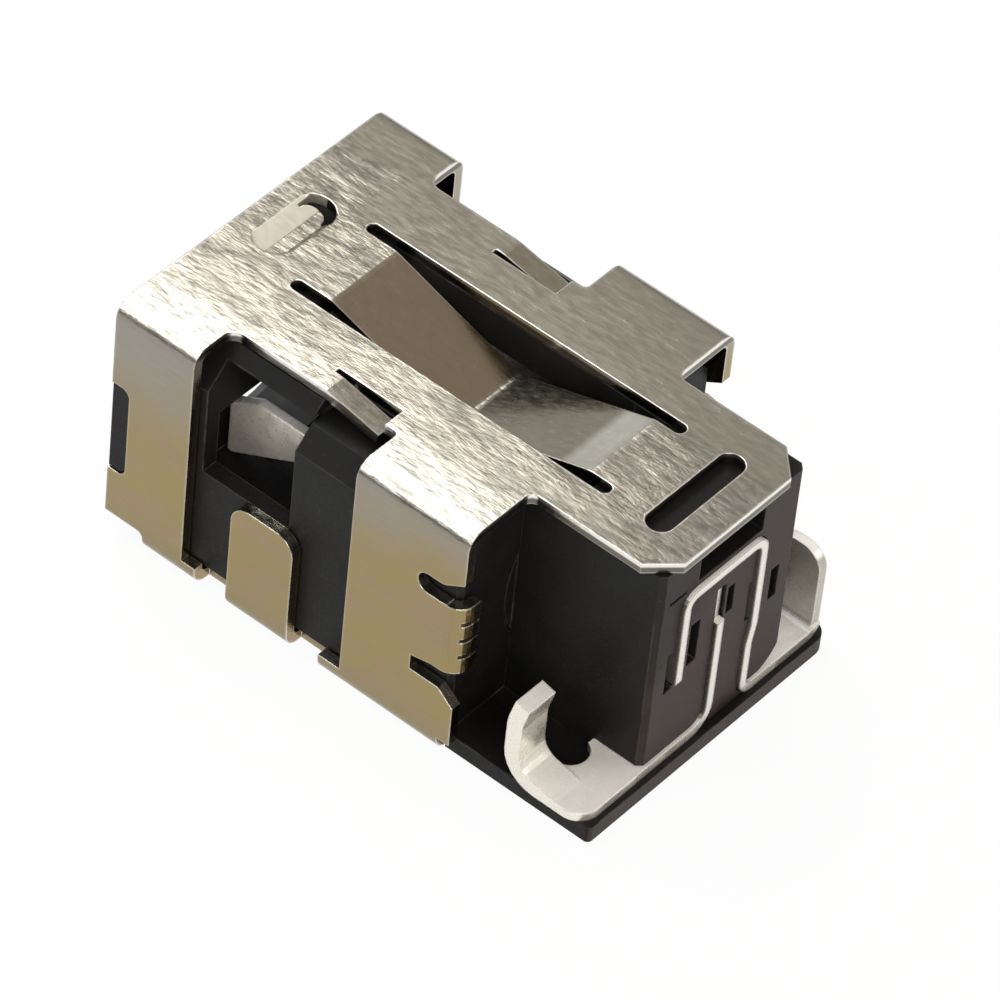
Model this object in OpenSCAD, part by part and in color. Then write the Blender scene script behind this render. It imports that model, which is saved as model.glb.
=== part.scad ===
// DC barrel jack with a folded metal shield, solder tabs and a leaf spring.
// Millimetres. X is the width, Y runs from the plug's mouth to the solder
// tabs, Z is up, and the jack rests on z = 0, centred in X and Y.

/* [View] */
// Sub-part to show, or all

/* [Plug] */
// Diameter of the plug's barrel
plug_d = 4; // [3.8:0.05:4.1]
// Clearance round the plug's barrel, each side
plug_gap = 0.1; // [0.06:0.01:0.14]
// Height of the bore's axis
axis_h = 3.1; // [3:0.05:3.2]
// Diameter of the centre pin
pin_d = 1.65; // [1.4:0.05:1.8]
// Distance from the mouth to the pin's tip
pin_setback = 2; // [1.8:0.1:3]
// Length of the close-fitting collar at the mouth
collar_l = 1.3; // [1:0.1:1.4]
// How much wider the bore is behind its collar, each side
cavity_step = 0.2; // [0.18:0.01:0.25]
// Width and depth of the funnel at the mouth
funnel = 0.35; // [0.2:0.05:0.4]

/* [Shield] */
// Width over the side walls
shield_w = 8; // [7.9:0.05:8.4]
// Height of the top plate
shield_h = 6.2; // [6.1:0.05:6.6]
// Length of the top plate
shield_l = 12.35; // [12.1:0.05:12.8]
// Thickness of the sheet
sheet_t = 0.25; // [0.2:0.01:0.3]
// Outside radius of the folds
fold_r = 0.4; // [0.35:0.01:0.5]
// Length of the front side walls
front_wall_l = 2.03; // [1.9:0.01:2.1]
// Length of the opening between front and rear side walls
side_open_l = 4.17; // [4.1:0.01:4.4]
// Length of the rear side walls
rear_wall_l = 2.83; // [2.7:0.01:2.9]
// Width of the top plate between the side walls
waist_w = 5.8; // [5.6:0.05:6]
// Radius of the top plate's inside corners
waist_r = 0.3; // [0.15:0.05:0.4]
// Width of the top plate behind the side walls
tail_w = 4.4; // [4.1:0.05:4.6]
// Corner cut of the top plate's tail
tail_cut = 0.6; // [0.4:0.05:0.8]
// Width of the feet that are folded under the housing
foot_w = 1.6; // [1.2:0.05:1.8]
// Distance from the mouth to the feet
foot_setback = 1; // [0.8:0.05:1.2]

/* [Shield details] */
// Width of the leaf spring
leaf_w = 1.95; // [1.8:0.05:2.1]
// Width of the slots beside the leaf spring
leaf_slot_w = 0.3; // [0.2:0.01:0.35]
// Distance from the mouth to the leaf spring's slots
leaf_setback = 2; // [1.8:0.05:2.1]
// Length of the leaf spring's slots
leaf_l = 8.1; // [7.8:0.05:8.2]
// Depth of the leaf spring's crease below the plate
leaf_drop = 1.1; // [0.9:0.05:1.1]
// Width of the upright tabs between the side walls
tab_w = 1.6; // [1.4:0.05:1.7]
// Height of the upright tabs
tab_h = 3; // [2.8:0.05:3.2]
// Length of the edge springs
edge_spring_l = 1.55; // [1.4:0.05:1.7]
// Width of the edge springs
edge_spring_w = 0.5; // [0.4:0.02:0.56]
// How far the free ends of the edge springs hang down
edge_spring_drop = 0.28; // [0.2:0.01:0.36]
// Length of the oblong hole in the tail
tail_hole_l = 2.7; // [2.4:0.05:2.9]
// Width of the oblong hole in the tail
tail_hole_w = 0.6; // [0.4:0.02:0.64]
// Length of the dimple that locks the shield to the housing
dimple_l = 2; // [1.8:0.05:2.2]
// Width of the dimple
dimple_w = 1; // [0.8:0.05:1.05]
// Depth of the dimple
dimple_h = 0.18; // [0.1:0.01:0.2]
// Number of teeth on each barbed tongue
tooth_count = 4; // [3:1:5]

/* [Housing] */
// Clearance between mating pieces
fit_gap = 0.03; // [0.02:0.01:0.04]
// Width of the slope along the housing's top edges
shoulder = 0.8; // [0.6:0.05:0.9]
// Length of the mouth's face, which fills the shield's corners
face_l = 0.9; // [0.6:0.05:1.2]
// Radius of the base plate's corner beside the solder tab
base_corner_r = 0.4; // [0.2:0.05:0.5]
// Thickness of the base plate behind the housing
base_t = 0.4; // [0.35:0.01:0.45]
// How far the base plate reaches past the shield's tail
base_lip = 0.05; // [0:0.01:0.15]
// Length of the lugs in the shield's front notches
lug_l = 0.42; // [0.35:0.01:0.5]
// Height of the lugs
lug_h = 2.3; // [2:0.05:2.5]
// Thickness of the wall round the side windows
window_wall_t = 0.4; // [0.3:0.05:0.8]
// Length of the side windows
window_l = 2.25; // [2:0.05:2.4]
// Height of the side windows
window_h = 2.7; // [2.5:0.05:2.8]

/* [Rear block] */
// Width of the rear block
block_w = 4.3; // [4.2:0.05:4.4]
// Radius of the rear block's low corner beside the solder tab
block_r = 0.9; // [0.6:0.05:1]
// How far the rear block stops short of the shield's tail
block_setback = 0.15; // [0.1:0.01:0.25]
// Length of the round nose that closes the bore
nose_l = 0.8; // [0.6:0.05:0.9]

/* [Contacts] */
// Thickness of the contact strip
strip_t = 0.22; // [0.18:0.01:0.25]
// Width of the contact strip on the base
strip_w = 1.25; // [1.1:0.05:1.35]
// How far the strips' cut edges stop short of the shield's tail
strip_setback = 0.08; // [0.05:0.01:0.12]
// Width of the solder finger
finger_w = 0.8; // [0.6:0.05:0.9]
// Height of the solder finger
finger_h = 2.55; // [2.3:0.05:2.7]
// Thickness of the solder finger with its tinning
finger_t = 0.36; // [0.3:0.01:0.4]
// Radius of the relief beside the solder finger
relief_r = 0.42; // [0.35:0.01:0.45]
// Height of the solder tab
solder_tab_h = 2.65; // [2.3:0.05:2.9]
// Height of the inverted U in the rear face
arch_h = 4.9; // [4.8:0.02:5]
// Width of the inverted U, centre to centre
arch_w = 2.35; // [2.3:0.05:2.5]
// Height of the spring arms beside the bore
arm_h = 1.73; // [1.6:0.01:1.8]

/* [Hidden] */
$fn = 48;
over = 0.5;
half_w = shield_w / 2;
wall_x = half_w - sheet_t;
plate_z = shield_h - sheet_t;
overall_l = shield_l + base_lip;

// Places along the length, from the mouth
open_end = front_wall_l + side_open_l;
wall_end = open_end + rear_wall_l;
body_end = wall_end - sheet_t - fit_gap;
block_end = shield_l - block_setback;
strip_end = shield_l - strip_setback;
strip_start = strip_end - strip_w;

// Housing
body_x = wall_x - fit_gap;
body_top = plate_z - fit_gap;
bore_r = plug_d / 2 + plug_gap;
cavity_r = bore_r + cavity_step;
lug_z = axis_h - lug_h / 2 - 0.2;
window_y = front_wall_l + 0.17;
window_z = axis_h - 0.15;

// Dimple
dimple_x = -0.11;
dimple_y = 0.94;

// Leaf spring: where it leaves the plate and where it is creased
leaf_bend_front = leaf_setback + 0.85;
leaf_bend_rear = leaf_setback + leaf_l - 0.6;
leaf_crease = (leaf_bend_front + leaf_bend_rear) / 2;
leaf_half = leaf_w / 2 + leaf_slot_w;

// Barbed tongue of the rear wall
tongue_y = wall_end - 1.13;
tongue_low = 2.3;
tongue_high = 4.1;
tongue_in = half_w - 0.6;

// Upright tab
tab_y = front_wall_l + (side_open_l - tab_w) / 2 - 0.1;

// Edge springs
edge_spring_y = open_end - edge_spring_l - 0.42;
edge_spring_x = waist_w / 2 - edge_spring_w;

// Contacts
strip_z = base_t + strip_t / 2;
leg_low = axis_h - 0.6;
arm_low = axis_h - 0.6;
arm_x = cavity_r + 0.05 + strip_t / 2;
arm_contact_x = plug_d / 2 + strip_t / 2;
arm_tip = front_wall_l - 0.18;
pocket_x = arm_x + strip_t / 2 + 0.15;
arch_start = body_end + 0.45;
tail_r = 0.6;
tail_end = body_end + 1.25;
tail_slot = arch_start + 0.1;
finger_x = body_x + 0.1 - finger_w;
block_left = block_w / 2 - 0.15;
block_right = block_w - block_left;
bend_r = 0.3;
pin_bend_r = 0.5;
bend_step = 15;

nickel = [0.72, 0.70, 0.66];
tin = [0.86, 0.85, 0.82];
brass = [0.80, 0.70, 0.42];
black = [0.10, 0.10, 0.10];

// ---- Helpers ----

// An (x, z) profile between two places along Y
module along_y(y0, y1) {
    translate([0, y1, 0])
    rotate([90, 0, 0])
    linear_extrude(y1 - y0)
    children();
}

// A (y, z) profile between two places along X
module along_x(x0, x1) {
    translate([x0, 0, 0])
    rotate([90, 0, 90])
    linear_extrude(x1 - x0)
    children();
}

// An (x, y) profile between two heights
module along_z(z0, z1) {
    translate([0, 0, z0])
    linear_extrude(z1 - z0)
    children();
}

// What a round corner takes off a square corner at the origin, in +X and +Y
module corner_cut(r) {
    difference() {
        translate([-over, -over])
        square([r + over, r + over]);
        translate([r, r])
        circle(r);
    }
}

module both_sides() {
    children();
    mirror([1, 0, 0])
    children();
}

// A cylinder on the bore's axis
module round_y(r, y0, y1, r2) {
    translate([0, y1, axis_h])
    rotate([90, 0, 0])
    cylinder(h = y1 - y0, r1 = is_undef(r2) ? r : r2, r2 = r);
}

module box_between(low, high) {
    translate(low)
    cube(high - low);
}

module rounded_square(size, r) {
    translate([r, 0])
    square([size[0] - 2 * r, size[1]]);
    translate([0, r])
    square([size[0], size[1] - 2 * r]);
    for (x = [r, size[0] - r], y = [r, size[1] - r]) {
        translate([x, y])
        circle(r);
    }
}

module oblong(length, width) {
    square([length - width, width], center = true);
    for (x = [-1, 1]) {
        translate([x * (length - width) / 2, 0])
        circle(width / 2);
    }
}

function unit(a) = [cos(a), sin(a)];
function heading(pts, i) = atan2(pts[i + 1][1] - pts[i][1], pts[i + 1][0] - pts[i][0]);
function wrapped(a) = a > 180 ? a - 360 : a < -180 ? a + 360 : a;
function turn(pts, i) = wrapped(heading(pts, i) - heading(pts, i - 1));

// Points of one bend of radius r, on the line that lies d to the left of the middle
function bend_points(pts, i, r, d) =
    let (h = heading(pts, i - 1))
    let (swing = turn(pts, i))
    let (side = sign(swing))
    let (steps = ceil(abs(swing) / bend_step))
    let (start = pts[i] - r * tan(abs(swing) / 2) * unit(h))
    let (centre = start + side * r * unit(h + 90))
    [for (k = [0:steps]) centre + (d - side * r) * unit(h + 90 + swing * k / steps)];

// One side of a bent sheet, d to the left of its middle line
function sheet_side(pts, r, d) =
    let (last = len(pts) - 1)
    concat(
        [pts[0] + d * unit(heading(pts, 0) + 90)],
        [for (i = [1:last - 1]) each bend_points(pts, i, r, d)],
        [pts[last] + d * unit(heading(pts, last - 1) + 90)]
    );

function reversed(list) = [for (i = [len(list) - 1:-1:0]) list[i]];

// Section of a sheet of thickness t along a line, bent to the radius r
module bent_sheet(pts, t, r) {
    polygon(concat(sheet_side(pts, r, t / 2), reversed(sheet_side(pts, r, -t / 2))));
}

// ---- Shield ----

module shield() {
    color(nickel) {
        difference() {
            union() {
                difference() {
                    shield_fold();
                    both_sides() side_openings();
                    both_sides() tongue_slots();
                    top_openings();
                }
                leaf_spring();
                both_sides() edge_spring();
                both_sides() tongue_barb();
                dimple(plate_z, dimple_h);
            }
            dimple(shield_h, dimple_h);
            dimple_slit();
        }
    }
}

// The folded sheet before anything is cut out of it
module shield_fold() {
    along_y(0, shield_l)
    difference() {
        translate([-half_w, 0])
        rounded_square([shield_w, shield_h], fold_r);
        translate([-wall_x, sheet_t])
        rounded_square([2 * wall_x, shield_h - 2 * sheet_t], fold_r - sheet_t);
        translate([foot_w - half_w, -over])
        square([shield_w - 2 * foot_w, sheet_t + 2 * over]);
    }
}

module side_openings() {
    inside = half_w - fold_r - 0.1;
    // Between the walls, above the upright tab
    along_z(tab_h + 0.1, shield_h + over)
    translate([waist_w / 2, front_wall_l])
    rounded_square([shield_w, side_open_l], waist_r);
    along_z(tab_h + 0.1, shield_h + over)
    translate([waist_w / 2 - 0.1, open_end - 0.4])
    rounded_square([shield_w, 0.4], 0.12);
    along_x(inside, half_w + over)
    difference() {
        union() {
            translate([front_wall_l, 0.5])
            square([side_open_l, tab_h]);
            translate([front_wall_l + 0.35, -over])
            square([tab_y - front_wall_l - 0.35, 1 + over]);
            translate([tab_y + tab_w, -over])
            square([open_end - 0.55 - tab_y - tab_w, 1 + over]);
        }
        translate([tab_y, -1])
        rounded_square([tab_w, tab_h + 1], 0.45);
    }
    // Low front corner, and the feet end before the base plate
    along_x(half_w - foot_w - over, half_w + over)
    translate([-over, -over])
    rounded_square([foot_setback + over, 0.52 + over], 0.15);
    along_x(half_w - foot_w - over, half_w + over)
    translate([body_end - fit_gap, -over])
    square([shield_l, base_t + fit_gap + over]);
    // Notch for the housing's lug
    along_x(inside, half_w + over)
    translate([-over, lug_z - fit_gap])
    rounded_square([lug_l + fit_gap + over, lug_h + 2 * fit_gap], 0.2);
    // Behind the rear walls only the tail of the top plate is left
    along_z(-over, shield_h + over)
    translate([tail_w / 2, wall_end])
    rounded_square([shield_w, shield_l], 0.2);
    along_z(-over, shield_h + over)
    polygon([
        [tail_w / 2 - tail_cut, shield_l + over],
        [tail_w / 2 - tail_cut, shield_l],
        [tail_w / 2, shield_l - tail_cut],
        [tail_w / 2 + over, shield_l - tail_cut],
        [tail_w / 2 + over, shield_l + over]
    ]);
}

// Curved slots above and below the tongue, and room for its fold
module tongue_slots() {
    inside = half_w - fold_r - 0.1;
    slot = 0.5;
    rise = [
        [tongue_y + slot / 2, tongue_high + slot / 2],
        [tongue_y + 0.7, tongue_high + slot / 2],
        [wall_end + 0.3, tongue_high + 0.7]
    ];
    along_x(inside, half_w + over) {
        bent_sheet(rise, slot, 0.6);
        translate(rise[0])
        circle(slot / 2);
        polygon([
            [tongue_y, tongue_low - 0.5],
            [tongue_y, tongue_low - 0.12],
            [tongue_y + 0.5, tongue_low],
            [wall_end + over, tongue_low],
            [wall_end + over, tongue_low - 1.2],
            [wall_end - 0.05, tongue_low - 0.8],
            [wall_end - 0.4, tongue_low - 0.5]
        ]);
        translate([wall_end - fold_r, tongue_low - 0.1])
        square([fold_r + over, tongue_high - tongue_low + 0.4]);
    }
}

// The tongue's end, folded in behind the housing and cut into teeth
module tongue_barb() {
    middle = half_w - sheet_t / 2;
    pitch = (tongue_high - tongue_low) / tooth_count;
    difference() {
        along_z(tongue_low, tongue_high)
        bent_sheet([
            [middle, wall_end - fold_r - 0.1],
            [middle, wall_end - sheet_t / 2],
            [tongue_in, wall_end - sheet_t / 2]
        ], sheet_t, fold_r - sheet_t / 2);
        for (i = [1:tooth_count - 1]) {
            translate([tongue_in - over, wall_end - 0.1, tongue_low + i * pitch - 0.05])
            cube([half_w, 1, 0.1]);
        }
    }
}

module top_openings() {
    slot_middle = leaf_setback + leaf_l / 2;
    both_sides()
    along_z(plate_z - over, shield_h + over)
    translate([(leaf_w + leaf_slot_w) / 2, slot_middle])
    rotate(90)
    oblong(leaf_l, leaf_slot_w);
    box_between(
        [-leaf_w / 2 - 0.05, leaf_bend_front - 0.1, plate_z - over],
        [leaf_w / 2 + 0.05, leaf_bend_rear + 0.1, shield_h + over]
    );
    both_sides()
    box_between(
        [edge_spring_x - 0.12, edge_spring_y, plate_z - over],
        [waist_w / 2 + over, edge_spring_y + edge_spring_l + 0.08, shield_h + over]
    );
    along_z(plate_z - over, shield_h + over)
    translate([0, shield_l - 1.07])
    oblong(tail_hole_l, tail_hole_w);
}

module leaf_spring() {
    middle = shield_h - sheet_t / 2;
    along_x(-leaf_w / 2, leaf_w / 2)
    bent_sheet([
        [leaf_bend_front - 0.15, middle],
        [leaf_bend_front, middle],
        [leaf_crease, middle - leaf_drop],
        [leaf_bend_rear, middle],
        [leaf_bend_rear + 0.15, middle]
    ], sheet_t, 0.4);
}

module edge_spring() {
    middle = shield_h - sheet_t / 2;
    along_x(edge_spring_x, waist_w / 2)
    bent_sheet([
        [edge_spring_y - 0.1, middle],
        [edge_spring_y + 0.15, middle],
        [edge_spring_y + edge_spring_l, middle - edge_spring_drop]
    ], sheet_t, 0.5);
}

// Oblong pressed down from a surface. Its sides slope at 45 degrees, and its
// front side is a longer ramp.
module dimple(surface, depth, wider = 0) {
    rise = 0.05;
    top_r = dimple_w / 2 + rise + wider;
    low_r = dimple_w / 2 - depth + wider;
    half_l = (dimple_l - dimple_w) / 2;
    high = depth + rise;
    translate([dimple_x, dimple_y, surface - depth])
    difference() {
        union() {
            for (x = [-half_l, half_l]) {
                translate([x, 0, 0])
                cylinder(h = high, r1 = low_r, r2 = top_r);
            }
            along_x(-half_l, half_l)
            polygon([[-low_r, 0], [low_r, 0], [top_r, high], [-top_r, high]]);
        }
        along_x(-dimple_l, dimple_l)
        polygon([[-2 * top_r, 2 * high], [-2 * top_r, -high], [top_r, -high]]);
    }
}

// Crescent opening at one end of the dimple, where the sheet is sheared
module dimple_slit() {
    translate([dimple_x - (dimple_l - dimple_w) / 2, dimple_y])
    along_z(plate_z - over, shield_h + over)
    intersection() {
        difference() {
            circle(dimple_w / 2 + 0.02);
            circle(dimple_w / 2 - dimple_h - 0.04);
        }
        translate([-2, -0.35])
        square([2, 2]);
    }
}

// ---- Housing ----

module housing() {
    color(black) {
        difference() {
            union() {
                along_y(0, face_l) body_section(0.15);
                along_y(0.1, body_end) body_section(shoulder);
                base_plate();
                both_sides() lug();
            }
            bore();
            both_sides() side_window();
            both_sides() arm_pocket();
            both_sides() edge_spring_relief();
            both_sides() rear_chamfer();
            leaf_window();
            dimple(plate_z, dimple_h + 0.06, 0.1);
        }
    }
}

// The slope keeps clear of the shield's fold
module body_section(slope) {
    land_x = half_w - foot_w - fit_gap;
    low_r = fold_r - sheet_t + 0.05;
    difference() {
        translate([-body_x, sheet_t])
        square([2 * body_x, body_top - sheet_t]);
        for (side = [-1, 1]) {
            polygon([
                [side * (body_x - slope), body_top],
                [side * (body_x - slope), body_top + over],
                [side * (body_x + over), body_top + over],
                [side * (body_x + over), body_top - slope],
                [side * body_x, body_top - slope]
            ]);
            polygon([
                [side * (body_x - low_r), sheet_t],
                [side * (body_x - low_r), sheet_t - over],
                [side * (body_x + over), sheet_t - over],
                [side * (body_x + over), sheet_t + low_r],
                [side * body_x, sheet_t + low_r]
            ]);
        }
    }
    translate([-land_x, 0])
    square([2 * land_x, sheet_t + 0.1]);
}

module base_plate() {
    along_z(0, base_t)
    difference() {
        translate([-body_x, body_end - 1])
        rounded_square([2 * body_x, overall_l - body_end + 1], 0.12);
        translate([-half_w, body_end - 2])
        square([shield_w, 2]);
        translate([-body_x, overall_l])
        mirror([0, 1])
        corner_cut(base_corner_r);
    }
}

module lug() {
    along_x(body_x - 0.2, half_w - 0.04)
    difference() {
        translate([-1, lug_z])
        rounded_square([lug_l + 1, lug_h], 0.17);
        translate([-2, 0])
        square([2, shield_h]);
    }
}

module bore() {
    round_y(bore_r + funnel, -over, 0);
    round_y(bore_r + funnel, 0, funnel, bore_r);
    round_y(bore_r, 0, funnel + collar_l);
    round_y(cavity_r, funnel + collar_l, body_end + over);
}

module side_window() {
    box_between(
        [bore_r - 0.1, window_y, window_z],
        [half_w, window_y + window_l, window_z + window_h]
    );
}

// Room for a spring arm, which goes in from behind between the rear walls
module arm_pocket() {
    box_between(
        [1, arm_tip - 0.15, arm_low - 0.06],
        [pocket_x, body_end - 0.25, arm_low + arm_h + 0.06]
    );
    box_between(
        [bore_r, arm_tip - 0.15, arm_low - 0.06],
        [body_x - window_wall_t, window_y + window_l, arm_low + arm_h + 0.06]
    );
    box_between(
        [1, body_end - 1, arm_low - 0.06],
        [block_left - 0.03, body_end + over, arm_low + arm_h + 0.06]
    );
}

// Room for an edge spring to hang in
module edge_spring_relief() {
    box_between(
        [edge_spring_x - 0.1, edge_spring_y + 0.2, plate_z - edge_spring_drop - 0.1],
        [half_w, open_end, shield_h]
    );
}

// Room for the inside radius of a tongue's fold
module rear_chamfer() {
    chamfer = 0.1;
    along_z(base_t + 0.1, shield_h)
    polygon([
        [body_x - chamfer, body_end],
        [body_x - chamfer, body_end + over],
        [body_x + over, body_end + over],
        [body_x + over, body_end - chamfer],
        [body_x, body_end - chamfer]
    ]);
}

module leaf_window() {
    box_between(
        [-leaf_half, leaf_bend_front - 0.3, axis_h],
        [leaf_half, body_end + over, shield_h]
    );
}

// ---- Rear block ----

module rear_block() {
    color(black) {
        difference() {
            union() {
                block_body();
                nose();
            }
            pin_bore();
            contact_slots();
            rear_face_pockets();
            box_between(
                [-leaf_half, body_end - over, plate_z - 0.5],
                [leaf_half, leaf_bend_rear + 0.15, shield_h]
            );
        }
    }
}

// The low corner beside the solder tab is round
module block_body() {
    corner = 0.12;
    difference() {
        along_z(base_t, body_top)
        polygon([
            [-block_right, body_end],
            [block_left, body_end],
            [block_left, block_end - corner],
            [block_left - corner, block_end],
            [corner - block_right, block_end],
            [-block_right, block_end - corner]
        ]);
        along_y(strip_start - 0.6, block_end + over)
        translate([-block_right, base_t + strip_t])
        corner_cut(block_r);
    }
}

module nose() {
    difference() {
        round_y(cavity_r - fit_gap, body_end - nose_l, body_end);
        for (slot = [[shield_w, body_end - 0.25], [block_left - 0.03, body_end + over]]) {
            both_sides()
            box_between(
                [arch_w / 2 - strip_t / 2 - 0.06, 0, arm_low - 0.06],
                [slot[0], slot[1], arm_low + arm_h + 0.06]
            );
        }
    }
}

module pin_bore() {
    round_y(tail_r + 0.02, body_end - nose_l - over, tail_end + 0.05);
}

module contact_slots() {
    slot = strip_t + 2 * fit_gap;
    // Upright of the pin terminal
    box_between(
        [-slot / 2, tail_slot - 0.05, axis_h - 1],
        [slot / 2, block_end + over, upright_top() + fit_gap]
    );
    box_between(
        [-slot / 2, strip_start - fit_gap, base_t - over],
        [slot / 2, block_end + over, axis_h]
    );
    // Inverted U of the sleeve contact
    along_y(arch_start - fit_gap, block_end + over)
    bent_sheet(arch_line(leg_low - fit_gap), slot, bend_r);
    along_y(strip_start - fit_gap, block_end + over)
    bent_sheet(sleeve_line(), slot, bend_r);
    both_sides()
    box_between(
        [arch_w / 2 - slot / 2, body_end - over, arm_low - fit_gap],
        [arch_w / 2 + slot / 2 + 0.1, arch_start + 0.2 + fit_gap, arm_low + arm_h + fit_gap]
    );
    // Strips that lie on the base plate
    along_y(strip_start - fit_gap, block_end + over)
    bent_sheet(pin_line(), slot, pin_bend_r);
}

// Shallow pockets beside the strips, and the recess under the shield's tail
module rear_face_pockets() {
    pockets = [
        [0.6, 0.9, 2.7, 3.85],
        [-0.42, -0.2, 3.35, 4.1],
        [-1.06, -0.9, 2.6, 3.7],
        [-1.85, -1.6, 2.7, 3.55],
        [1.31, 1.55, 2.4, 3.5],
        [1.2, 1.72, 4.98, 5.06]
    ];
    for (p = pockets) {
        box_between([p[0], block_end - 0.4, p[2]], [p[1], block_end + over, p[3]]);
    }
    box_between(
        [-1.1, block_end - 0.8, arch_h + 0.15],
        [0.85, block_end + over, body_top - 0.27]
    );
}

// ---- Contacts ----

function upright_top() = axis_h + 1.15;

// Centre line of the strip of the sleeve contact, as (x, z)
function sleeve_line() = [
    [-solder_tab_x(), solder_tab_h],
    [-solder_tab_x(), strip_z],
    [-arch_w / 2 + 0.1, strip_z],
    [-arch_w / 2 + 0.1, axis_h - 1.2],
    [-arch_w / 2, axis_h - 0.7],
    [-arch_w / 2, arch_h - strip_t / 2],
    [arch_w / 2, arch_h - strip_t / 2],
    [arch_w / 2, leg_low]
];
function arch_line(low) = [
    [-arch_w / 2, low],
    [-arch_w / 2, arch_h - strip_t / 2],
    [arch_w / 2, arch_h - strip_t / 2],
    [arch_w / 2, low]
];
function solder_tab_x() = body_x - 0.17 - strip_t / 2;

// Centre line of the strip of the pin terminal, as (x, z)
function pin_line() = [
    [finger_x + finger_w, strip_z],
    [0, strip_z],
    [0, axis_h + 0.25]
];

module sleeve_contact() {
    color(tin) {
        intersection() {
            along_y(strip_start, strip_end) bent_sheet(sleeve_line(), strip_t, bend_r);
            union() {
                box_between([-2.4, 0, 0], [shield_w, shield_l, shield_h]);
                solder_tab_outline();
            }
        }
        along_y(arch_start, strip_end - 0.5) bent_sheet(arch_line(leg_low), strip_t, bend_r);
        both_sides() spring_arm();
    }
}

// Side view of the solder tab with its round corners
module solder_tab_outline() {
    along_x(-shield_w, -2.3) {
        translate([strip_start, -1])
        rounded_square([strip_w - 0.06, solder_tab_h + 1], 0.5);
        translate([strip_start, 0])
        square([strip_w, base_t + strip_t + 0.05]);
    }
}

// A flat spring: its middle presses on the plug's barrel, its tip flares out
module spring_arm() {
    root = arch_w / 2;
    arm_top = arm_low + arm_h;
    intersection() {
        along_z(arm_low, arm_top)
        bent_sheet([
            [root, arch_start + 0.2],
            [root, body_end],
            [arm_x, body_end - 0.75],
            [arm_x, arm_tip + 4.4],
            [arm_contact_x, arm_tip + 3.2],
            [arm_x, arm_tip + 2.1],
            [arm_x, arm_tip]
        ], strip_t, bend_r);
        along_x(0, half_w)
        polygon([
            [arm_tip - 0.1, arm_low + 0.05],
            [arm_tip + 0.1, arm_low],
            [arm_tip + 1, arm_low + 0.46],
            [arm_tip + 1.9, arm_low + 0.95],
            [arm_tip + 2.7, arm_low],
            [strip_start, arm_low],
            [strip_start, arm_top],
            [arm_tip + 0.7, arm_top],
            [arm_tip - 0.1, arm_top - 0.45]
        ]);
    }
}

module pin_terminal() {
    color(tin) {
        difference() {
            union() {
                along_y(strip_start, strip_end)
                bent_sheet(pin_line(), strip_t, pin_bend_r);
                along_x(-strip_t / 2, strip_t / 2)
                translate([tail_slot, axis_h - 0.9])
                square([strip_end - tail_slot - 0.15, upright_top() - axis_h + 0.9]);
                solder_finger();
            }
            // Round relief between the finger and the plate, and round corner
            along_z(0, base_t + strip_t + over) {
                translate([finger_x - relief_r - 0.06, strip_start - 0.15])
                circle(relief_r);
                difference() {
                    translate([finger_x + finger_w - 0.5, strip_end - 0.5])
                    square(1);
                    translate([finger_x + finger_w - 0.5, strip_end - 0.5])
                    circle(0.5);
                }
            }
        }
    }
}

// The finger is bent up at the front edge of the plate and leans back
module solder_finger() {
    middle = base_t + finger_t / 2;
    difference() {
        along_x(finger_x, finger_x + finger_w)
        bent_sheet([
            [strip_start + 0.7, middle],
            [strip_start - 0.6, middle],
            [strip_start - 0.6, axis_h - 1.1],
            [strip_start - 0.46, finger_h]
        ], finger_t, 0.62);
        // Its tinning thins out towards the plate
        along_x(finger_x - over, finger_x + finger_w + over)
        polygon([
            [strip_start, base_t + finger_t],
            [strip_start, base_t + 1],
            [strip_start + 1, base_t + 1],
            [strip_start + 1, base_t + strip_t - 0.06],
            [strip_start + 0.75, base_t + strip_t - 0.04]
        ]);
    }
}

module centre_pin() {
    shank_start = body_end - nose_l;
    tip_r = pin_d / 2;
    color(brass) {
        difference() {
            translate([0, 0, axis_h])
            rotate([-90, 0, 0])
            rotate_extrude() {
                pin_tip(tip_r);
                translate([0, pin_setback + 0.3])
                square([tip_r, shank_start - pin_setback - 0.3]);
                translate([0, shank_start - 0.3])
                square([tip_r + 0.35, 0.3]);
                translate([0, shank_start])
                square([tail_r, tail_end - shank_start]);
            }
            box_between(
                [-strip_t / 2 - 0.01, tail_slot - 0.02, 0],
                [strip_t / 2 + 0.01, tail_end + over, shield_h]
            );
        }
    }
}

// Half profile of the pin's rounded tip
module pin_tip(r) {
    translate([0, pin_setback])
    square([r - 0.3, 0.3]);
    translate([r - 0.3, pin_setback + 0.3])
    intersection() {
        circle(0.3);
        translate([0, -1])
        square([1, 1]);
    }
}

// ---- Assembly ----

module placed() {
    translate([0, -overall_l / 2, 0])
    children();
}

placed() shield();
placed() housing();
placed() rear_block();
placed() sleeve_contact();
placed() pin_terminal();
placed() centre_pin();
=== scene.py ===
import math

import bpy
from mathutils import Matrix, Quaternion, Vector

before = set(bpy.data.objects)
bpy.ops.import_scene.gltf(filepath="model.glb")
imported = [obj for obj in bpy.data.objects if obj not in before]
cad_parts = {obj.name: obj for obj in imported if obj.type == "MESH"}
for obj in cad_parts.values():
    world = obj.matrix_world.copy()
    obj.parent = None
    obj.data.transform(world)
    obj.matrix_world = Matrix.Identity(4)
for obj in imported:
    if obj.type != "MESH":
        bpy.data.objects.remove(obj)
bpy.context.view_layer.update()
MM = 0.001


# ---- Camera ----

CAMERA_PLACE = (86.55, 63.22, 111.19)
CAMERA_TARGET = (0.32, 0.755, 3.1)
CAMERA_ROLL = 6.31
LENS = 279.35
SENSOR_WIDTH = 36


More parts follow.
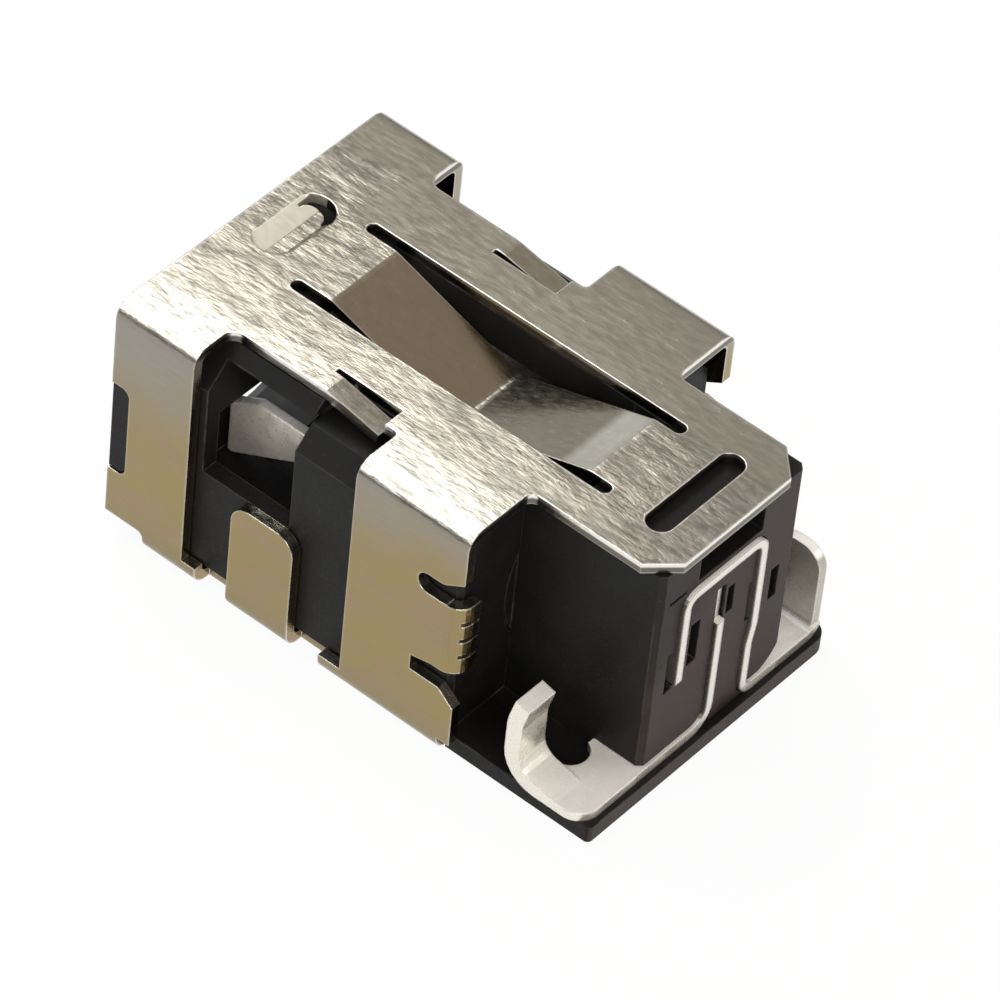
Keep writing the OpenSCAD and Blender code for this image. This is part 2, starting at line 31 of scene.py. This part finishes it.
def add_camera():
    """The camera that matches the corners of the photograph; places are in millimetres."""
    data = bpy.data.cameras.new("camera")
    data.lens = LENS
    data.sensor_width = SENSOR_WIDTH
    data.clip_start = 0.001
    data.clip_end = 5
    cam = bpy.data.objects.new("camera", data)
    bpy.context.scene.collection.objects.link(cam)
    place = Vector([c * MM for c in CAMERA_PLACE])
    target = Vector([c * MM for c in CAMERA_TARGET])
    toward = (target - place).normalized()
    turn = toward.to_track_quat("-Z", "Y") @ Quaternion((0, 0, 1), math.radians(CAMERA_ROLL))
    cam.matrix_world = Matrix.Translation(place) @ turn.to_matrix().to_4x4()
    bpy.context.scene.camera = cam


add_camera()


# ---- Node helpers: each returns an output socket ----

class Graph:
    """A material's node tree. Lengths in its coordinates are millimetres of the part."""

    def __init__(self, name):
        self.mat = bpy.data.materials.new(name)
        self.mat.use_nodes = True
        self.tree = self.mat.node_tree
        self.tree.nodes.clear()
        self.coords = self.node("ShaderNodeTexCoord")
        self.place = self.scaled(self.coords.outputs["Object"], (1 / MM, 1 / MM, 1 / MM))
        self.x, self.y, self.z = self.parts(self.place)
        self.nx, self.ny, self.nz = self.parts(self.coords.outputs["Normal"])

    def node(self, kind, **settings):
        n = self.tree.nodes.new(kind)
        for key, value in settings.items():
            setattr(n, key, value)
        return n

    def feed(self, target, value):
        """Link a socket, or set a plain value."""
        if isinstance(value, bpy.types.NodeSocket):
            self.tree.links.new(value, target)
        else:
            target.default_value = value

    def parts(self, vector):
        n = self.node("ShaderNodeSeparateXYZ")
        self.feed(n.inputs[0], vector)
        return n.outputs

    def scaled(self, vector, by):
        n = self.node("ShaderNodeVectorMath", operation="MULTIPLY")
        self.feed(n.inputs[0], vector)
        n.inputs[1].default_value = by
        return n.outputs[0]

    def math(self, operation, a, b=0.0):
        n = self.node("ShaderNodeMath", operation=operation)
        self.feed(n.inputs[0], a)
        self.feed(n.inputs[1], b)
        return n.outputs[0]

    def ramp(self, value, start, end, low=0.0, high=1.0):
        """From low at start to high at end, smooth and held outside."""
        n = self.node("ShaderNodeMapRange", interpolation_type="SMOOTHSTEP")
        for socket, v in zip(n.inputs[:5], (value, start, end, low, high)):
            self.feed(socket, v)
        return n.outputs[0]

    def times(self, a, b):
        return self.math("MULTIPLY", a, b)

    def plus(self, a, b):
        return self.math("ADD", a, b)

    def larger(self, a, b):
        return self.math("MAXIMUM", a, b)

    def size(self, value):
        return self.math("ABSOLUTE", value)

    def noise(self, per_mm, detail, roughness, shift=0.0):
        """Noise with this many lumps per millimetre along x, y and z."""
        n = self.node("ShaderNodeTexNoise", noise_dimensions="4D")
        self.feed(n.inputs["Vector"], self.scaled(self.place, per_mm))
        n.inputs["W"].default_value = shift
        n.inputs["Scale"].default_value = 1.0
        n.inputs["Detail"].default_value = detail
        n.inputs["Roughness"].default_value = roughness
        return n.outputs[0]

    def mix(self, share, a, b):
        """Colour a turning to colour b as share goes from 0 to 1."""
        n = self.node("ShaderNodeMix", data_type="RGBA")
        self.feed(n.inputs[0], share)
        for socket, v in ((n.inputs[6], a), (n.inputs[7], b)):
            self.feed(socket, v if isinstance(v, bpy.types.NodeSocket) else (*v, 1))
        return n.outputs[2]

    def bump(self, height, depth, normal):
        """Relief of this depth in millimetres on top of another normal."""
        n = self.node("ShaderNodeBump")
        n.inputs["Strength"].default_value = 1.0
        n.inputs["Distance"].default_value = depth * MM
        self.feed(n.inputs["Height"], height)
        self.feed(n.inputs["Normal"], normal)
        return n.outputs[0]

    def round_edges(self, radius):
        """The surface normal with its sharp edges rounded, radius in millimetres."""
        n = self.node("ShaderNodeBevel", samples=6)
        n.inputs["Radius"].default_value = radius * MM
        return n.outputs[0]

    def near_edges(self, radius):
        """1 on sharp edges, falling to 0 that far away in millimetres."""
        n = self.node("ShaderNodeVectorMath", operation="DOT_PRODUCT")
        self.feed(n.inputs[0], self.round_edges(radius))
        self.feed(n.inputs[1], self.node("ShaderNodeNewGeometry").outputs["Normal"])
        return self.ramp(n.outputs["Value"], 0.995, 0.9)

    def within(self, value, start, end, soft):
        """1 between start and end, fading out over soft on both sides."""
        rise = self.ramp(value, start - soft, start)
        return self.times(rise, self.ramp(value, end + soft, end))

    def finish(self, colour, roughness, normal, metallic, **plain):
        """Close the material; plain values go on the shader's own sockets."""
        bsdf = self.node("ShaderNodeBsdfPrincipled")
        self.feed(bsdf.inputs["Base Color"], colour)
        self.feed(bsdf.inputs["Roughness"], roughness)
        self.feed(bsdf.inputs["Normal"], normal)
        self.feed(bsdf.inputs["Metallic"], metallic)
        for key, value in plain.items():
            bsdf.inputs[key.replace("_", " ")].default_value = value
        out = self.node("ShaderNodeOutputMaterial")
        self.tree.links.new(bsdf.outputs[0], out.inputs[0])
        return self.mat


def dress(name, mat):
    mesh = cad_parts[name].data
    mesh.materials.clear()
    mesh.materials.append(mat)


# ---- Materials ----

EDGE_HIGHLIGHT_AND_WEAR = (0.86, 0.83, 0.76)
STREAK_DARK = (0.27, 0.247, 0.2)
STREAK_LIGHT = (0.41, 0.38, 0.32)
CALM_GREY = (0.385, 0.36, 0.283)
LEAF_SLOPE_SHADE = (0.385, 0.31, 0.225)
LEAF_ROOT_HIGHLIGHT = (0.76, 0.74, 0.64)
SPRING_SHADE_FAR = (0.38, 0.28, 0.22)
SPRING_SHADE_NEAR = (0.33, 0.31, 0.27)
WALL_SHADE = (0.3, 0.275, 0.235)
GOLD_REFLECTION_YELLOW = (0.32, 0.25, 0.1)
GOLD_REFLECTION_RED = (0.33, 0.235, 0.125)
FOOT_SHADE = (0.27, 0.23, 0.15)
SHOULDER_HIGHLIGHT_DIM = (0.46, 0.44, 0.36)
SHOULDER_HIGHLIGHT_REAR = (0.76, 0.75, 0.65)
SHOULDER_HIGHLIGHT_AHEAD = (0.93, 0.92, 0.79)
FOLD_HIGHLIGHT_DIM = (0.4, 0.37, 0.31)
FOLD_HIGHLIGHT = (0.8, 0.77, 0.68)
TARNISH = (0.25, 0.215, 0.16)
CUT_DARK = (0.14, 0.13, 0.11)
CUT_RIM = (0.86, 0.84, 0.78)
CREASE_PAINTED_SHADE = (0.12, 0.105, 0.085)
DIMPLE_HIGHLIGHT = (0.88, 0.85, 0.75)


def sheet_areas(g, cloud):
    """Where each look of the shield lies, as masks from 0 to 1."""
    side = g.ramp(g.size(g.nx), 0.7, 0.95)
    upright = g.ramp(g.size(g.nz), 0.4, 0.15)
    drift = g.plus(g.times(g.y, -0.16), g.ramp(cloud, 0.3, 0.7, -0.35, 0.35))
    low = g.ramp(g.plus(g.z, drift), 6.2, 3.8)
    sheared = g.times(g.ramp(g.z, 5.94, 5.99), upright)
    sloped = g.within(g.nz, 0.9, 0.965, 0.02)
    rail = g.times(g.ramp(g.x, -0.7, -1.4), g.ramp(g.y, -5.2, -4.2))
    hung = g.within(g.nz, 0.4, 0.97, 0.02)
    edge_spring = g.times(g.within(g.size(g.x), 2.3, 3.5, 0.05), hung)
    far_side = g.ramp(g.x, -2.2, -3.0)
    dimple = g.times(g.within(g.x, -1.2, 0.9, 0.02), g.within(g.y, -5.75, -5.28, 0.02))
    top = g.ramp(g.nz, 0.9, 0.98)
    return {
        "side": side,
        "gold": g.times(upright, low),
        "foot": g.times(side, g.ramp(g.z, 1.2, 0.2)),
        "leaf_front": g.times(sloped, g.ramp(g.ny, 0.1, 0.25)),
        "leaf_root": g.times(g.within(g.x, -0.9, 0.9, 0.1), g.within(g.y, 2.75, 3.1, 0.3)),
        "calm": g.larger(g.larger(sloped, rail), g.larger(edge_spring, far_side)),
        "edge_spring": edge_spring,
        "shoulder": g.times(top, g.ramp(g.x, 2.0, 3.9, 0, 0.75)),
        "sheared": sheared,
        "burnished": g.times(sheared, g.ramp(g.z, 6.08, 6.14)),
        "fold": g.times(g.within(g.nx, 0.2, 0.8, 0.1), g.ramp(g.nz, 0.2, 0.5)),
        "dimple_front": g.times(dimple, g.ramp(g.nz, 0.985, 0.96)),
        # Round the dimple the edges take a painted shade line instead of the bright edge colour.
        "crease": g.times(g.within(g.x, -0.95, 1.3, 0.02), g.within(g.y, -6.0, -4.2, 0.02)),
    }


def sheet_colour(g, area, streak, cloud, patch):
    """The shield's colour, laid on from the plain sheet up to its edges, painted bright as
    highlight and wear.
    """
    # Painted shade on the bent-down edge springs: brownish on the -x side, grey on the +x side.
    spring = g.mix(g.ramp(g.x, -1, 1), SPRING_SHADE_FAR, SPRING_SHADE_NEAR)
    # Painted reflection of a warm floor: a gold tint low on the upright walls, patchy from yellow
    # to red.
    gold = g.mix(g.ramp(patch, 0.4, 0.65), GOLD_REFLECTION_YELLOW, GOLD_REFLECTION_RED)
    fleck = g.ramp(streak, 0.35, 0.6)
    # Painted highlight along the +x shoulder of the top, brightest toward -y.
    shoulder_light = g.mix(g.ramp(g.y, -1, -4), SHOULDER_HIGHLIGHT_REAR, SHOULDER_HIGHLIGHT_AHEAD)
    # Edges painted bright: a painted highlight where rounded edges catch the light, together with
    # wear of the plating; round the dimple they take painted shade instead.
    edge = g.times(g.near_edges(0.075), g.ramp(patch, 0.3, 0.6, 0.7, 1))
    worn = g.times(edge, g.ramp(g.larger(area["side"], area["sheared"]), 0, 1, 0.9, 0.3))
    coats = (
        (g.times(area["calm"], 0.7), CALM_GREY),
        # Painted shade: the leaf's slope that tilts toward +y, made brown.
        (g.times(area["leaf_front"], 0.8), LEAF_SLOPE_SHADE),
        # Painted highlight: the bend at the leaf's root made pale.
        (g.times(area["leaf_root"], 0.9), LEAF_ROOT_HIGHLIGHT),
        (g.times(area["edge_spring"], 0.7), spring),
        # Painted shade: the side walls made darker than the top.
        (g.times(area["side"], 0.9), WALL_SHADE),
        (g.times(area["gold"], 0.9), gold),
        # Painted shade: the foot of the side walls made darker brown near the floor.
        (g.times(area["foot"], 0.6), FOOT_SHADE),
        (area["shoulder"], g.mix(fleck, SHOULDER_HIGHLIGHT_DIM, shoulder_light)),
        (g.ramp(cloud, 0.5, 0.75, 0, 0.25), TARNISH),
        (g.times(area["sheared"], 0.9), CUT_DARK),
        # Painted highlight on the folds along the +x side.
        (area["fold"], g.mix(fleck, FOLD_HIGHLIGHT_DIM, FOLD_HIGHLIGHT)),
        (worn, g.mix(area["crease"], EDGE_HIGHLIGHT_AND_WEAR, CREASE_PAINTED_SHADE)),
        (area["burnished"], CUT_RIM),
        # Painted highlight: the dimple's sloped ramp made pale.
        (area["dimple_front"], DIMPLE_HIGHLIGHT),
    )
    colour = g.mix(g.ramp(streak, 0.3, 0.7), STREAK_DARK, STREAK_LIGHT)
    for share, coat in coats:
        colour = g.mix(share, colour, coat)
    return colour


def nickel_sheet():
    """Nickel-plated sheet: rolling streaks along y; edges painted bright as highlight and wear;
    painted highlights on the +x shoulder, the folds, the leaf root and the dimple ramp; painted
    shade on the side walls, their foot, the leaf's forward slope, the edge springs and round the
    dimple; and a gold painted reflection low down.
    """
    g = Graph("nickel_sheet")
    streak = g.noise((9, 2.4, 9), 4, 0.62)
    fine = g.noise((34, 9, 34), 2, 0.5, 3)
    cloud = g.noise((0.5, 0.35, 0.5), 3, 0.55, 7)
    patch = g.noise((1.6, 0.8, 1.6), 2, 0.5, 11)
    area = sheet_areas(g, cloud)
    colour = sheet_colour(g, area, streak, cloud, patch)
    rough = g.plus(g.ramp(streak, 0.25, 0.75, 0.13, 0.24), g.ramp(fine, 0.3, 0.7, 0, 0.05))
    rough = g.plus(rough, g.times(area["dimple_front"], 0.28))
    relief = g.plus(g.times(streak, 0.7), g.times(fine, 0.3))
    relief = g.times(relief, g.ramp(patch, 0.35, 0.65, 0.45, 1))
    relief = g.times(relief, g.ramp(area["calm"], 0, 1, 1, 0.3))
    normal = g.bump(relief, 0.016, g.round_edges(0.03))
    return g.finish(colour, rough, normal, 1.0)


BLACK_DARK = (0.005, 0.005, 0.0055)
BLACK_LIGHT = (0.014, 0.013, 0.012)
BLACK_SPECK = (0.06, 0.055, 0.05)
BLACK_WORN = (0.085, 0.078, 0.07)


def black_plastic(name, rear_light):
    """Moulded black nylon with a fine grain; its rear faces carry painted light, lighter lower
    down and towards -x.
    """
    g = Graph(name)
    grain = g.noise((22, 22, 22), 3, 0.6)
    patch = g.noise((1.1, 1.1, 1.1), 3, 0.6, 5)
    speck = g.ramp(g.noise((9, 9, 9), 2, 0.6, 9), 0.62, 0.74)
    # Painted light on the rear faces, strongest where x plus z is small.
    rear = g.times(g.ramp(g.ny, 0.4, 0.9), g.ramp(g.y, 5, 5.5))
    rear = g.times(rear, g.ramp(g.plus(g.x, g.z), 5.4, 4.2, 0.35, 1))
    worn = g.times(g.near_edges(0.06), g.ramp(patch, 0.45, 0.6, 0.15, 0.8))
    colour = g.mix(patch, BLACK_DARK, BLACK_LIGHT)
    colour = g.mix(g.times(rear, g.ramp(patch, 0.3, 0.7, 0.45, 1)), colour, rear_light)
    colour = g.mix(g.times(speck, 0.25), colour, BLACK_SPECK)
    colour = g.mix(worn, colour, BLACK_WORN)
    rough = g.ramp(g.plus(g.times(grain, 0.5), g.times(patch, 0.5)), 0.3, 0.7, 0.38, 0.6)
    normal = g.bump(grain, 0.006, g.round_edges(0.04))
    return g.finish(colour, rough, normal, 0.0, Specular_IOR_Level=0.15)


TIN_DULL = (0.45, 0.42, 0.38)
TIN_EDGE_HIGHLIGHT = (0.95, 0.93, 0.88)
TIN_SHADE = (0.2, 0.185, 0.16)
TIN_STRIP = (0.78, 0.75, 0.69)


def tinned(name, upright_shade, light, front, shine):
    """Tin-plated strip: pale where it lies flat, more mirror-like where upright, with painted
    shade on upright faces, toned by y, and painted highlights on its edges.
    """
    g = Graph(name)
    lump = g.noise((2.5, 2.5, 2.5), 2, 0.5, 8)
    flow = g.noise((3, 9, 9), 2, 0.5, 6)
    grain = g.noise((7, 7, 7), 2, 0.5, 4)
    upright = g.ramp(g.size(g.nz), 0.9, 0.35)
    behind = g.times(g.within(g.x, -2.1, 2.1, 0.1), g.ramp(g.y, 4, 4.4))
    strip = g.times(behind, g.ramp(g.ny, 0.5, 0.9))
    colour = g.mix(g.ramp(lump, 0.3, 0.7, 0, 0.15), light, TIN_DULL)
    colour = g.mix(g.ramp(flow, 0.4, 0.8, 0, 0.08), colour, TIN_DULL)
    # Painted light on upright faces: a shaded tone, and toward low y a painted highlight on the
    # contact and painted shade on the terminal.
    colour = g.mix(upright, colour, g.mix(g.ramp(g.y, 3.6, 2.6), upright_shade, front))
    # Painted highlight along the strip's edges.
    colour = g.mix(g.times(g.near_edges(0.05), 0.75), colour, TIN_EDGE_HIGHLIGHT)
    colour = g.mix(g.times(behind, upright), colour, TIN_SHADE)
    colour = g.mix(strip, colour, g.mix(g.near_edges(0.09), TIN_STRIP, TIN_SHADE))
    rough = g.plus(g.ramp(lump, 0.3, 0.7, 0.18, 0.32), g.ramp(grain, 0.3, 0.7, 0, 0.05))
    relief = g.plus(g.times(lump, 0.98), g.times(grain, 0.015))
    normal = g.bump(relief, 0.01, g.round_edges(0.05))
    return g.finish(colour, rough, normal, g.times(g.ramp(upright, 0, 1, 0.25, 1), shine))


PIN_SILVER = (0.72, 0.68, 0.58)
PIN_BRASS = (0.62, 0.53, 0.36)


def turned_metal():
    """Plated brass pin with fine turning rings."""
    g = Graph("turned_metal")
    rings = g.noise((0.6, 30, 0.6), 2, 0.6)
    wear = g.noise((1.5, 1.5, 1.5), 3, 0.6, 2)
    colour = g.mix(g.ramp(wear, 0.35, 0.7), PIN_SILVER, PIN_BRASS)
    rough = g.ramp(rings, 0.3, 0.7, 0.16, 0.34)
    normal = g.bump(rings, 0.006, g.round_edges(0.03))
    return g.finish(colour, rough, normal, 1.0)


HOUSING_REAR_LIGHT = (0.048, 0.036, 0.03)
BLOCK_REAR_LIGHT = (0.048, 0.034, 0.028)
# Tin tones: the flat colour, a painted shade for upright faces, and painted light toward low y.
CONTACT_TONES = {
    "upright_shade": (0.47, 0.45, 0.39),
    "light": (0.97, 0.95, 0.91),
    "front": (1, 0.96, 0.84),
}
TERMINAL_TONES = {
    "upright_shade": (0.84, 0.81, 0.72),
    "light": (0.96, 0.93, 0.87),
    "front": (0.6, 0.57, 0.5),
}

dress("shield", nickel_sheet())
dress("housing", black_plastic("housing_black", HOUSING_REAR_LIGHT))
dress("rear_block", black_plastic("block_black", BLOCK_REAR_LIGHT))
dress("sleeve_contact", tinned("contact_tin", shine=0.6, **CONTACT_TONES))
dress("pin_terminal", tinned("terminal_tin", shine=0.7, **TERMINAL_TONES))
dress("centre_pin", turned_metal())


# ---- Floor, lights and world ----

FLOOR_WHITE_SHARE = 0.93
FLOOR_PAPER = (0.9, 0.9, 0.9, 1)
FLOOR_HALF = 0.6
# Just under the part, so that its underside and the floor don't share a plane
FLOOR_DROP = -0.01 * MM


def floor_material():
    """White to the camera and in reflections, with a share of real shading for the shadow."""
    mat = bpy.data.materials.new("floor_white")
    mat.use_nodes = True
    tree = mat.node_tree
    tree.nodes.clear()
    path = tree.nodes.new("ShaderNodeLightPath")
    seen = tree.nodes.new("ShaderNodeMath")
    seen.operation = "MAXIMUM"
    tree.links.new(path.outputs["Is Camera Ray"], seen.inputs[0])
    through = tree.nodes.new("ShaderNodeMath")
    through.operation = "MAXIMUM"
    tree.links.new(path.outputs["Is Glossy Ray"], through.inputs[0])
    tree.links.new(path.outputs["Is Transmission Ray"], through.inputs[1])
    tree.links.new(through.outputs[0], seen.inputs[1])
    share = tree.nodes.new("ShaderNodeMath")
    share.operation = "MULTIPLY"
    tree.links.new(seen.outputs[0], share.inputs[0])
    share.inputs[1].default_value = FLOOR_WHITE_SHARE
    white = tree.nodes.new("ShaderNodeEmission")
    white.inputs["Color"].default_value = (1, 1, 1, 1)
    paper = tree.nodes.new("ShaderNodeBsdfDiffuse")
    paper.inputs["Color"].default_value = FLOOR_PAPER
    mixed = tree.nodes.new("ShaderNodeMixShader")
    tree.links.new(share.outputs[0], mixed.inputs[0])
    tree.links.new(paper.outputs[0], mixed.inputs[1])
    tree.links.new(white.outputs[0], mixed.inputs[2])
    out = tree.nodes.new("ShaderNodeOutputMaterial")
    tree.links.new(mixed.outputs[0], out.inputs[0])
    return mat


def add_floor():
    mesh = bpy.data.meshes.new("floor")
    s, low = FLOOR_HALF, FLOOR_DROP
    corners = [(-s, -s, low), (s, -s, low), (s, s, low), (-s, s, low)]
    mesh.from_pydata(corners, [], [(0, 1, 2, 3)])
    floor = bpy.data.objects.new("floor", mesh)
    bpy.context.scene.collection.objects.link(floor)
    mesh.materials.append(floor_material())


def area_lamp(name, size_x, size_y, glow):
    """A rectangular lamp, sizes in millimetres, that looks as bright as white paper times glow."""
    data = bpy.data.lights.new(name, "AREA")
    data.shape = "RECTANGLE"
    data.size = size_x * MM
    data.size_y = size_y * MM
    data.energy = glow * math.pi * data.size * data.size_y
    lamp = bpy.data.objects.new(name, data)
    bpy.context.scene.collection.objects.link(lamp)
    return lamp


def add_panel(name, centre, size_x, size_y, glow):
    """A lamp that lies flat above the part and shines down."""
    area_lamp(name, size_x, size_y, glow).location = Vector(centre) * MM


def add_area(name, direction, distance, size, glow):
    """A square lamp that far from the part's middle, in millimetres, facing it."""
    away = Vector(direction).normalized()
    place = Vector((0, 0, 3 * MM)) + away * distance * MM
    turn = (-away).to_track_quat("-Z", "Y").to_matrix().to_4x4()
    area_lamp(name, size, size, glow).matrix_world = Matrix.Translation(place) @ turn


WORLD_LIGHT = (0.6, 0.6, 0.6, 1)
WORLD_WARM = (0.33, 0.28, 0.21, 1)
WORLD_HORIZON = 0.35


def set_world():
    """A soft studio, pale towards -y, warm and darker towards +y and near the horizon."""
    world = bpy.data.worlds.new("world")
    bpy.context.scene.world = world
    world.use_nodes = True
    tree = world.node_tree
    tree.nodes.clear()
    coords = tree.nodes.new("ShaderNodeTexCoord")
    parts = tree.nodes.new("ShaderNodeSeparateXYZ")
    tree.links.new(coords.outputs["Generated"], parts.inputs[0])
    span = tree.nodes.new("ShaderNodeMapRange")
    span.interpolation_type = "SMOOTHSTEP"
    span.inputs[1].default_value = -0.5
    span.inputs[2].default_value = 0.5
    tree.links.new(parts.outputs[1], span.inputs[0])
    tone = tree.nodes.new("ShaderNodeMix")
    tone.data_type = "RGBA"
    tree.links.new(span.outputs[0], tone.inputs[0])
    tone.inputs[6].default_value = WORLD_LIGHT
    tone.inputs[7].default_value = WORLD_WARM
    rise = tree.nodes.new("ShaderNodeMapRange")
    rise.interpolation_type = "SMOOTHSTEP"
    rise.inputs[1].default_value = 0
    rise.inputs[2].default_value = 0.4
    rise.inputs[3].default_value = WORLD_HORIZON
    tree.links.new(parts.outputs[2], rise.inputs[0])
    back = tree.nodes.new("ShaderNodeBackground")
    tree.links.new(tone.outputs[2], back.inputs["Color"])
    tree.links.new(rise.outputs[0], back.inputs["Strength"])
    out = tree.nodes.new("ShaderNodeOutputWorld")
    tree.links.new(back.outputs[0], out.inputs[0])


add_floor()
set_world()
add_panel("key", (-11.5, -31, 41), 20, 36, 6)
add_panel("top", (14, -24, 44), 34, 30, 1.4)
add_area("edge", (0.71, -0.41, 0.57), 80, 25, 3)
add_area("rim", (-0.57, 0.71, 0.41), 90, 40, 2.4)
add_area("fill", (0.5, 0.62, 0.6), 110, 70, 4.2)

bpy.context.scene.view_settings.view_transform = "Standard"

def plain(box):
    return [list(map(float, corner)) for corner in box]
